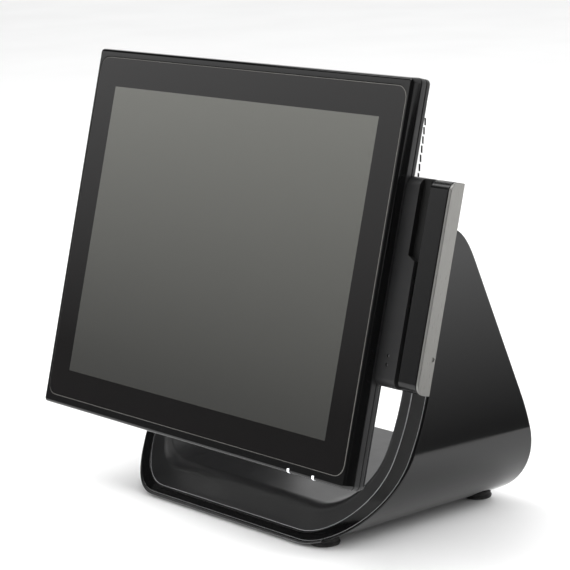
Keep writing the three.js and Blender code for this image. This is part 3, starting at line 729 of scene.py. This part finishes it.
def inner_liner():
    edge = joint_u(-GAP)
    near = joint_u(-GAP - 0.5)
    roll = [(trough_u(along), "front", depth * 0.55, depth) for along, depth in quarter(CREASE, 7)]
    rear_roll = [(trough_u(along), "rear", depth) for along, depth in quarter(2.0)[::-1]]
    section = [(edge, "front", 3), (edge, "front", 0.5), (joint_u(-GAP - 0.15), "front", 0.15), (near, "front", 0)]
    section += roll + rear_roll
    section += [(near, "rear", 0), (joint_u(-GAP - 0.15), "rear", 0.15), (edge, "rear", 0.5), (edge, "rear", 3),
                (trough_u(3), "rear", 3), (trough_u(3), "front", 3)]
    bay = PORT_BAY
    half_height = (bay["top"] - bay["bottom"]) / 2
    outline = rounded(bay["half_width"] + GAP, half_height + GAP, 1.5, 0, bay["middle"], 4)
    window = prism("window", outline, "y", 150, 200, STAND_FRAME)
    # Steps 1 and 2, the liner's rounded edge at the joint, get the pale painted highlight.
    u_solid("liner", "whole", section, "inner_liner", cuts=[window], lit=(1, 2))


# ---- head


# The bezel's side as (inset, y): a soft front edge, then a face that leans out towards the back.
BEZEL_SIDE = ((0.5, 8), (0.15, 7.9), (0, 7.6), (0.22, 6), (0.5, 4), (0.85, 2.2), (1.15, 1.2), (1.5, 0.6), (2.0, 0.22),
              (2.6, 0.05), (3.2, 0))


def front_bezel():
    rings = [rect_ring(HEAD, y, inset) for inset, y in BEZEL_SIDE]
    pocket = {"half_width": GLASS["half_width"] + GAP, "half_height": GLASS["half_height"] + GAP,
              "radius": GLASS["radius"] + GAP, "centre": GLASS["centre"]}
    rings += [rect_ring(pocket, d, a) for a, d in ((-0.3, 0), (-0.08, 0.08), (0, 0.3))]
    floor = GLASS["thickness"] + GAP
    rings += [rect_ring(pocket, floor), rect_ring(WINDOW, floor), rect_ring(WINDOW, 5.4), rect_ring(PANEL, 5.4),
              rect_ring(PANEL, 8)]
    made = loft("bezel_front", rings, HEAD_FRAME, closed=True)
    notches = [lens_block(f"notch_{name}", x, GAP) for name, x in LENS["places"].items()]
    boolean(made, "DIFFERENCE", *notches)
    dress(made, "front_bezel", "head", smooth=30)


def lens_block(name, x, margin):
    half = LENS["width"] / 2 + margin
    bottom = -HEAD["half_height"]
    return box(name, (x - half, -1, bottom - 1), (x + half, LENS["depth"] + margin, bottom + LENS["height"] + margin),
               HEAD_FRAME)


def status_lenses():
    for name, x in LENS["places"].items():
        core = loft("core", [rect_ring(HEAD, y, inset + 0.02) for inset, y in BEZEL_SIDE], HEAD_FRAME)
        made = boolean(lens_block(name + "_pipe", x, 0), "INTERSECT", core)
        dress(bevel(made, 0.15, 2), name, "head")


def touch_glass():
    edge = quarter(0.45, 2)
    rings = [rect_ring(GLASS, GLASS["thickness"] - d, a) for a, d in edge]
    rings += [rect_ring(GLASS, d, a) for a, d in edge[::-1]]
    # The glass's front rounded edge gets the paler painted highlight.
    made = loft("glass_touch", rings, HEAD_FRAME, materials=(SCREEN_GLASS, GLASS_EDGE_HIGHLIGHT), choose=lambda i, j: int(i > 2))
    dress(made, "touch_glass", "head", smooth=30)


def frame_band(name, front, back, hole, radius, material):
    edge = quarter(radius, 3)
    rings = [rect_ring(HEAD, back - d, a) for a, d in edge]
    rings += [rect_ring(HEAD, front + d, a) for a, d in edge[::-1]]
    rings += [rect_ring(hole, front), rect_ring(hole, back)]
    return loft(name, rings, HEAD_FRAME, closed=True, materials=(material, GLOSS_BACK))


def head_frames():
    dress(frame_band("frame_middle", *MIDDLE_FRAME, PANEL, 0.5, SATIN_FRAME), "middle_frame", "head", smooth=30)
    hole = {"half_width": COVER["half_width"] + GAP, "half_height": COVER["half_height"] + GAP, "radius": 14.3}
    ring = frame_band("frame_rear", *REAR_FRAME, hole, 0.5, SATIN_FRAME)
    dress(boolean(ring, "UNION", plateau()), "rear_frame", "head", smooth=30)


def plateau():
    """The raised part of the rear frame that closes the head's lower corners beside the narrow part of the cover."""
    size = {key: HEAD[key] - PLATEAU["inset"] for key in ("half_width", "half_height", "radius")}
    edge = quarter(0.6, 3)
    rings = [rect_ring(size, PLATEAU["back"] - d, a) for a, d in edge] + [rect_ring(size, PLATEAU["front"])]
    made = loft("plateau", rings, HEAD_FRAME, materials=(GLOSS_BACK,))
    room = prism("room", cover_outline(-GAP), "y", 10, 30, HEAD_FRAME)
    above = box("above", (-250, 0, PLATEAU["top"]), (250, 50, 250), HEAD_FRAME)
    return boolean(made, "DIFFERENCE", room, above)


def filleted(corners, steps=8):
    """A closed outline through (u, v, radius) corners, each rounded with its radius."""
    points = []
    for i, (u, v, radius) in enumerate(corners):
        corner = Vector((u, v))
        before = (Vector(corners[i - 1][:2]) - corner).normalized()
        after = (Vector(corners[(i + 1) % len(corners)][:2]) - corner).normalized()
        half = before.angle(after) / 2
        reach = radius / math.tan(half)
        centre = corner + (before + after).normalized() * radius / math.sin(half)
        start = corner + before * reach - centre
        end = corner + after * reach - centre
        turn = start.angle_signed(end)
        for k in range(steps + 1):
            points.append(tuple(centre + Matrix.Rotation(-turn * k / steps, 2) @ start))
    return points


def cover_outline(inset):
    """The cover's outline moved inwards: it is narrower below its shoulders."""
    x, low_x, z = (COVER[key] - inset for key in ("half_width", "lower_half_width", "half_height"))
    shoulder = COVER["shoulder"] + inset * math.tan(math.pi / 8)
    foot = shoulder - COVER["half_width"] + COVER["lower_half_width"]
    round_out, hollow = COVER["radius"] - inset, 5 + inset
    right = [(low_x, -z, round_out), (low_x, foot, hollow), (x, shoulder, max(9 - inset, 0.5)), (x, z, round_out)]
    return filleted(right + [(-u, v, radius) for u, v, radius in right[::-1]])


def cover_ring(y, inset=0):
    return [(x, y, z) for x, z in cover_outline(inset)]


def rear_cover():
    wall, back, front, roll = COVER["wall"], COVER["back"], COVER["front"], COVER["bevel"]
    rings = [cover_ring(back - d, a) for a, d in quarter(roll, 8)]
    rings += [cover_ring(front + 0.3), cover_ring(front, 0.3), cover_ring(front, wall)]
    rings += [cover_ring(back - wall - d, a + wall) for a, d in quarter(roll - wall, 5)[::-1]]
    made = loft("cover_rear", rings, HEAD_FRAME)
    room = {key: CHASSIS[key] + (0 if key == "radius" else GAP) for key in CHASSIS}
    boolean(made, "DIFFERENCE", loft("room", [rect_ring(room, y) for y in (10, PLATEAU["front"])], HEAD_FRAME))
    tools = side_vent_tools() + back_vent_tools() + round_tools()
    # The walls of the vents and holes get the near-black painted shade.
    cut_painted(made, merged(tools), PALE, RECESS_SHADE)
    dress(made, "rear_cover", "head", smooth=30)


def side_vent_tools():
    v = SIDE_VENTS
    tools = []
    for side in (-1, 1):
        for i in range(v["count"]):
            z = v["top"] - i * v["pitch"]
            front = v["front"] + i * v["pitch"] * v["lean"]
            outline = ((front, z), (front + v["slant"], z - v["height"]),
                       (front + v["slant"] + v["width"], z - v["height"]), (front + v["width"], z))
            x = side * COVER["half_width"]
            tools.append(prism("vent", outline, "x", x - 5, x + 5, HEAD_FRAME))
    return tools


def back_vent_tools():
    v = BACK_VENTS
    tools = []
    for side in (-1, 1):
        for i in range(v["count"]):
            x = side * v["column"] + (i - (v["count"] - 1) / 2) * v["pitch"]
            outline = rounded(v["width"] / 2, v["height"] / 2, v["width"] / 2 - 0.05, x, v["z"], 4)
            tools.append(prism("vent", outline, "y", COVER["back"] - 8, COVER["back"] + 1, HEAD_FRAME))
    return tools


def four(x, z):
    return [(sx * x, sz * z) for sx, sz in ((-1, -1), (1, -1), (-1, 1), (1, 1))]


def round_tools():
    back = COVER["back"]
    tools = []
    holes = [(p, VESA["screw_radius"] + GAP) for p in four(VESA["half_spacing"], VESA["half_spacing"])]
    holes += [(p, COVER_SCREWS["radius"] + GAP) for p in four(COVER_SCREWS["x"], COVER_SCREWS["z"])]
    for (x, z), radius in holes:
        tools.append(turned("hole", ((radius, back - 10), (radius, back + 1)), "y", (x, 0, z), HEAD_FRAME, 24))
    bottom = -COVER["half_height"]
    radius = BUTTON["radius"] + GAP
    tools.append(turned("hole", ((radius, bottom - 5), (radius, bottom + 5)), "z", (BUTTON["x"], BUTTON["y"], 0),
                        HEAD_FRAME, 32))
    return tools


def power_button():
    """The cap with a shallow dish, a round edge and the flange that keeps it in."""
    low = -COVER["half_height"] - 1.2
    inside = -COVER["half_height"] + COVER["wall"]
    r = BUTTON["radius"]
    flange = BUTTON["flange"]
    profile = [(0.01, low + 0.35), (r * 0.5, low + 0.25), (r * 0.85, low + 0.05), (r - 0.4, low),
               (r - 0.12, low + 0.12), (r, low + 0.4), (r, inside + 0.3), (flange, inside + 0.3),
               (flange, inside + 1.7), (0.01, inside + 1.7)]
    made = turned("button_power", profile, "z", (BUTTON["x"], BUTTON["y"], 0), HEAD_FRAME)
    dress(made, "power_button", "power_button")


# ---- hinge, screws and other plain parts


def refined(node, width):
    """A finer copy of a CAD node: flat faces made whole again and its edges rounded."""
    work = bmesh.new()
    work.from_mesh(frame["nodes"][node].data)
    bmesh.ops.remove_doubles(work, verts=work.verts, dist=1e-6)
    bmesh.ops.dissolve_limit(work, angle_limit=math.radians(1), verts=work.verts, edges=work.edges)
    mesh = bpy.data.meshes.new(node)
    work.to_mesh(mesh)
    work.free()
    made = bevel(add_object("fine_" + node, mesh), width, 2)
    bodies = frame["record"]["behaviour"]["bodies"]
    dress(made, node, next(name for name, members in bodies.items() if node in members))


def pan_screw(name, node, x, z, radius, head_radius, head_front, tip):
    """A pan-head screw along y with a cross recess."""
    top = head_front + 2.4
    profile = [(0.01, tip), (radius * 0.6, tip), (radius, tip + radius * 0.6), (radius, head_front),
               (head_radius, head_front), (head_radius, head_front + 0.9)]
    profile += [(head_radius * math.cos(a), head_front + 0.9 + 1.5 * math.sin(a))
                for a in (math.pi / 2 * i / 6 for i in range(1, 6))] + [(0.01, top)]
    made = turned(name, profile, "y", (x, 0, z), HEAD_FRAME, 32)
    arm, thin = head_radius * 0.55, head_radius * 0.13
    cross = [box("slot", (x - a, top - 1.1, z - b), (x + a, top + 1, z + b), HEAD_FRAME)
             for a, b in ((arm, thin), (thin, arm))]
    boolean(made, "DIFFERENCE", *cross)
    dress(made, node, "head", STEEL if "plate" in node else BLACK_STEEL)


def screws():
    back = COVER["back"]
    for i, (x, z) in enumerate(four(COVER_SCREWS["x"], COVER_SCREWS["z"])):
        pan_screw(f"screw_cover_{i + 1}", f"cover_screw_{i + 1}", x, z, COVER_SCREWS["radius"],
                  COVER_SCREWS["head_radius"], back + GAP, back - 8)
    for i, (x, z) in enumerate(four(VESA["half_spacing"], VESA["half_spacing"])):
        pan_screw(f"screw_plate_{i + 1}", f"plate_screw_{i + 1}", x, z, VESA["screw_radius"], VESA["head_radius"],
                  back + 3 + 2 * GAP, 26.8)


def hinge():
    refined("hinge_plate", 0.6)
    half, radius, bore, ring = (SHAFT[key] for key in ("half_length", "radius", "bore", "ring_radius"))
    profile = [(0.01, -half), (radius - 0.8, -half), (radius, -half + 0.8), (radius, half - 0.8),
               (radius - 0.8, half), (0.01, half)]
    dress(turned("shaft_hinge", profile, "x", PIVOT, STAND_FRAME), "hinge_shaft", "stand")
    for side, sign in (("left", -1), ("right", 1)):
        refined(f"{side}_hinge_arm", 0.8)
        refined(f"{side}_clamp_nut", 0.5)
        refined(f"{side}_shaft_nut", 0.5)
        for name, near, far, edge in (("shaft_collar", 114, 120.7, 0.8), ("friction_washer", 41.3, 45.3, 0.3)):
            low, high = sorted((sign * near, sign * far))
            rim = [(ring - edge, 0), (ring - edge * 0.3, edge * 0.3), (ring, edge)]
            profile = [(bore, low)] + [(r, low + t) for r, t in rim]
            profile += [(r, high - t) for r, t in rim[::-1]] + [(bore, high)]
            made = turned(f"{name}_{side}", profile, "x", PIVOT, STAND_FRAME, closed=True)
            dress(made, f"{side}_{name}", "stand")


def feet():
    """Round rubber feet with a rounded rim, a shallow ring groove and a dished underside."""
    for side, sign in (("left", -1), ("right", 1)):
        for end, y in (("front", FOOT["front_y"]), ("rear", FOOT["rear_y"])):
            node = f"{side}_{end}_foot"
            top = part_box(node)[1].z / MM
            r = FOOT["radius"]
            profile = [(0.01, 0.5), (r * 0.45, 0.5), (r * 0.5, 0), (r - 1.6, 0), (r - 0.5, 0.35), (r - 0.1, 1.0),
                       (r, 1.8), (r - 0.5, 2.6), (r - 1.0, 3.0), (r - 1.0, 3.6), (r - 0.7, 4.0), (r - 0.9, top),
                       (0.01, top)]
            made = turned(f"foot_{end}_{side}", profile, "z", (sign * FOOT["x"], y, 0), STAND_FRAME, 56)
            boolean(made, "DIFFERENCE", u_cutter(FOOT["clearance"]))
            dress(made, node, "stand")


def u_cutter(clearance):
    """The outer shell's U as a solid block, to cut the feet to its underside."""
    u = outer_u(-clearance)
    flat = u["half_width"] - u["radius"]
    outline = arc(-flat, u["bottom"] + u["radius"], u["radius"], 180, 270, 24)
    outline += arc(flat, u["bottom"] + u["radius"], u["radius"], 270, 360, 24)
    outline += [(u["half_width"], 120), (-u["half_width"], 120)]
    return prism("keep", outline, "y", -60, 260, STAND_FRAME)


# ---- card reader


def reader_outline():
    r = READER["radius"]
    outline = [(READER["back"], READER["bottom"]), (READER["back"], READER["top"])]
    outline += arc(READER["front"] + r, READER["top"] - r, r, 90, 180, 14)
    outline += arc(READER["front"] + r, READER["bottom"] + r, r, 180, 270, 14)
    return outline


def reader():
    r = READER
    inner = prism("reader_inner", reader_outline(), "x", r["inner"], r["slot"], HEAD_FRAME)
    recess = ((r["recess_x"], r["top"] + 5), (r["recess_x"], r["recess_z"]), (r["slot"] + 1, r["recess_end"]),
              (r["slot"] + 1, r["top"] + 5))
    cut = prism("recess", recess, "y", r["front"] - 5, r["front"] + r["recess_depth"], HEAD_FRAME)
    # The finger recess's walls get the near-black painted shade.
    cut_painted(inner, cut, TEXTURED, RECESS_SHADE)
    settle(bevel(inner, 0.7, 3, 25))
    well = ((1.3, r["front"] - 1), (1.3, r["front"] + 2.5))
    holes = [turned("hole", well, "y", (r["light_x"], 0, z), HEAD_FRAME, 24)
             for z in (r["upper_light"], r["lower_light"])]
    holes.append(box("pocket", (r["slot"] - 6, 12, -12), (r["slot"] + 1, 18, 8), HEAD_FRAME))
    boolean(inner, "DIFFERENCE", *holes)
    dress(inner, "reader_inner_body", "head", TEXTURED, 25)

    outer = prism("reader_outer", reader_outline(), "x", r["slot"] + r["slot_width"], r["outer"] - GAP, HEAD_FRAME)
    dress(bevel(outer, 0.7, 3, 25), "reader_outer_body", "head", SATIN_READER, 25)

    plate = prism("reader_plate", reader_outline(), "x", r["outer"], r["plate"], HEAD_FRAME)
    settle(bevel(plate, 0.5, 3, 25))
    hole = turned("hole", ((1.6, r["plate"] - 0.8), (1.6, r["plate"] + 1)), "x", (0, r["screw_y"] - 0.6, r["screw_z"]),
                  HEAD_FRAME, 32)
    boolean(plate, "DIFFERENCE", hole)
    dress(plate, "reader_end_plate", "head", smooth=25)

    refined("reader_slot_floor", 0.3)
    refined("reader_bracket", 0.5)
    for name, z in (("upper", r["upper_light"]), ("lower", r["lower_light"])):
        y = r["front"]
        profile = [(0.01, y + 0.3), (0.55, y + 0.38), (0.88, y + 0.6), (1, y + 0.9), (1, y + 2.2), (0.01, y + 2.2)]
        made = turned(f"reader_led_{name}", profile, "y", (r["light_x"], 0, z), HEAD_FRAME, 24)
        dress(made, f"reader_light_{name}", "head", UNLIT)


# ---- ports at the back


def ports():
    refined("port_panel", 0.25)
    for node in ("power_inlet", "serial_port", "network_port", "usb_port_left", "usb_port_right"):
        refined(node, 0.2)


def plain_nodes():
    """The inner parts stay as the CAD made them, with a finished material."""
    for node, obj in frame["nodes"].items():
        if not obj.hide_render:
            obj.data.materials.clear()
            obj.data.materials.append(BY_SLOT[SLOT_OF[node]])


# ---- studio


FLOOR_HALF_WIDTH = 12000
CARD_FADE = 120      # how far the side card takes to go dark at its slanting edge
CARD_DARK = 0.02     # what is left of its light there
FRONT_CARD = {"left": -4200, "right": -950, "before": 1500, "bottom": 60, "top": 1150}
SIDE_CARD = {"x": 303, "y": 211, "z": 1, "turn": math.radians(7.4), "before": 2500, "beyond": 3500, "width": 5000}
SIDE_REACH = {"slope": 0.854, "x": -147, "y": -50}
DARK_ROOM, PALE_WALL = 0.03, 0.9    # the world's strength in reflections, and behind the object
VIEWPOINT = Vector((1287.7, -1031.1, 317.5 + GLASS_CENTRE_HEIGHT))
VIEW_RIGHT = Vector((0.6543, 0.7555, -0.0325))
VIEW_FORWARD = Vector((-0.7443, 0.6358, -0.2044))


def studio_panel(name, corners):
    """A flat four-cornered piece of the studio, which isn't part of the object."""
    mesh = bpy.data.meshes.new(name)
    mesh.from_pydata([Vector(c) * MM for c in corners], [], [(0, 1, 2, 3)])
    made = add_object(name, mesh)
    return made


def emission_card(name, corners, ramp_axis, low, high, value_low, value_high, diffuse, reach=None):
    """A glowing card that the camera doesn't see, brighter towards one end.

    Reach is (slope, start): the card is dark where y is below slope times x plus start.
    """
    card = studio_panel(name, corners)
    n = Nodes(name)
    n.tree.nodes.remove(n.shader)
    split = n.add("ShaderNodeSeparateXYZ")
    n.link(n.place, split.inputs["Vector"])
    strength = n.map_range(split.outputs[ramp_axis], low * MM, high * MM, value_low, value_high)
    if reach:
        slope, start = reach
        across = n.math("SUBTRACT", split.outputs["Y"], n.math("MULTIPLY", split.outputs["X"], slope))
        lit = n.map_range(across, (start - CARD_FADE) * MM, start * MM, CARD_DARK, 1)
        strength = n.math("MULTIPLY", strength, lit)
    glow = n.add("ShaderNodeEmission")
    n.link(strength, glow.inputs["Strength"])
    n.link(glow.outputs["Emission"], n.tree.nodes["Material Output"].inputs["Surface"])
    card.data.materials.append(n.material)
    card.visible_camera = False
    card.visible_shadow = False
    card.visible_diffuse = diffuse


def floor():
    """Plain white paper."""
    half = FLOOR_HALF_WIDTH
    made = studio_panel("floor", [(x, y, 0) for x, y in ((-half, -half), (half, -half), (half, half), (-half, half))])
    n = Nodes("floor_paper")
    n.drive(Base_Color=n.ramp(n.noise(0.004, 2), 0.3, 0.7, 0.92, 0.95))
    n.set(Roughness=0.6)
    made.data.materials.append(n.material)


def area_light(name, place, target, width, height, power):
    data = bpy.data.lights.new(name, "AREA")
    data.shape = "RECTANGLE"
    data.size = width * MM
    data.size_y = height * MM
    data.energy = power
    light = add_object(name, data)
    light.location = Vector(place) * MM
    light.rotation_mode = "QUATERNION"
    light.rotation_quaternion = (Vector(target) - Vector(place)).to_track_quat("-Z", "Y")
    return light


def world():
    """White to the camera and in diffuse light. Reflections show a dark room with a pale wall behind the object."""
    made = bpy.data.worlds.new("studio")
    made.use_nodes = True
    bpy.context.scene.world = made
    tree = made.node_tree
    path = tree.nodes.new("ShaderNodeLightPath")
    around = tree.nodes.new("ShaderNodeTexCoord")
    split = tree.nodes.new("ShaderNodeSeparateXYZ")
    tree.links.new(around.outputs["Generated"], split.inputs["Vector"])
    wall = tree.nodes.new("ShaderNodeMapRange")
    for name, number in (("From Min", 0.2), ("From Max", 0.5), ("To Min", DARK_ROOM), ("To Max", PALE_WALL)):
        wall.inputs[name].default_value = number
    tree.links.new(split.outputs["Y"], wall.inputs["Value"])

    def white(node, strength):
        node.inputs["Color"].default_value = (1, 1, 1, 1)
        node.inputs["Strength"].default_value = strength
        return node

    shader = white(tree.nodes["Background"], 1).outputs[0]
    reflected = white(tree.nodes.new("ShaderNodeBackground"), 1)
    tree.links.new(wall.outputs["Result"], reflected.inputs["Strength"])
    seen = white(tree.nodes.new("ShaderNodeBackground"), 1.1)
    for ray, other in (("Is Glossy Ray", reflected), ("Is Camera Ray", seen)):
        mix = tree.nodes.new("ShaderNodeMixShader")
        tree.links.new(path.outputs[ray], mix.inputs[0])
        tree.links.new(shader, mix.inputs[1])
        tree.links.new(other.outputs[0], mix.inputs[2])
        shader = mix.outputs[0]
    tree.links.new(shader, tree.nodes["World Output"].inputs["Surface"])


def front_card():
    """An upright card in front on the left. It also lights the object."""
    card = FRONT_CARD
    y = ORIGIN.y / MM - card["before"]
    corners = [(card[x], y, card[z])
               for x, z in (("left", "bottom"), ("right", "bottom"), ("right", "top"), ("left", "top"))]
    emission_card("card_front", corners, "Z", 320, 980, 0.16, 1.07, True)


def side_card():
    """A card that lies on the floor on the right and shows only in reflections, cut off along a slanting line."""
    card, origin, reach = SIDE_CARD, ORIGIN / MM, SIDE_REACH
    near = Vector((origin.x + card["x"], origin.y + card["y"], card["z"]))
    along = Vector((-math.sin(card["turn"]), math.cos(card["turn"]), 0))
    out = Vector((math.cos(card["turn"]), math.sin(card["turn"]), 0)) * card["width"]
    first, last = near - along * card["before"], near + along * card["beyond"]
    start = origin.y - reach["slope"] * (origin.x - reach["x"]) + reach["y"]
    emission_card("card_side", [first, first + out, last + out, last], "X", near.x + 30, near.x + 600, 0.17, 1.6,
                  False, (reach["slope"], start))


def studio():
    bpy.context.scene.view_settings.view_transform = "Standard"
    world()
    floor()
    front_card()
    side_card()
    area_light("key", (-700, -700, 2300), (0, 0, 100), 1900, 1900, 36)
    area_light("back", (1100, 1700, 1500), (0, 100, 150), 1400, 1000, 30).visible_glossy = False


def camera():
    """The photograph's viewpoint: a long lens at about 49.5 degrees to the right and 12 degrees up."""
    data = bpy.data.cameras.new("camera")
    data.sensor_width = 36
    data.lens = 142.7
    data.clip_start = 0.05
    data.clip_end = 50
    right = VIEW_RIGHT.normalized()
    forward = VIEW_FORWARD.normalized()
    up = right.cross(forward).normalized()
    turn = Matrix((right, up, -forward)).transposed().to_4x4()
    bpy.context.scene.camera = add_object("camera", data, Matrix.Translation(ORIGIN + VIEWPOINT * MM) @ turn)


# ---- everything

camera()
side_shells()
front_trim()
base_pan()
inner_liner()
front_bezel()
touch_glass()
status_lenses()
head_frames()
rear_cover()
power_button()
screws()
hinge()
reader()
feet()
ports()
plain_nodes()
studio()
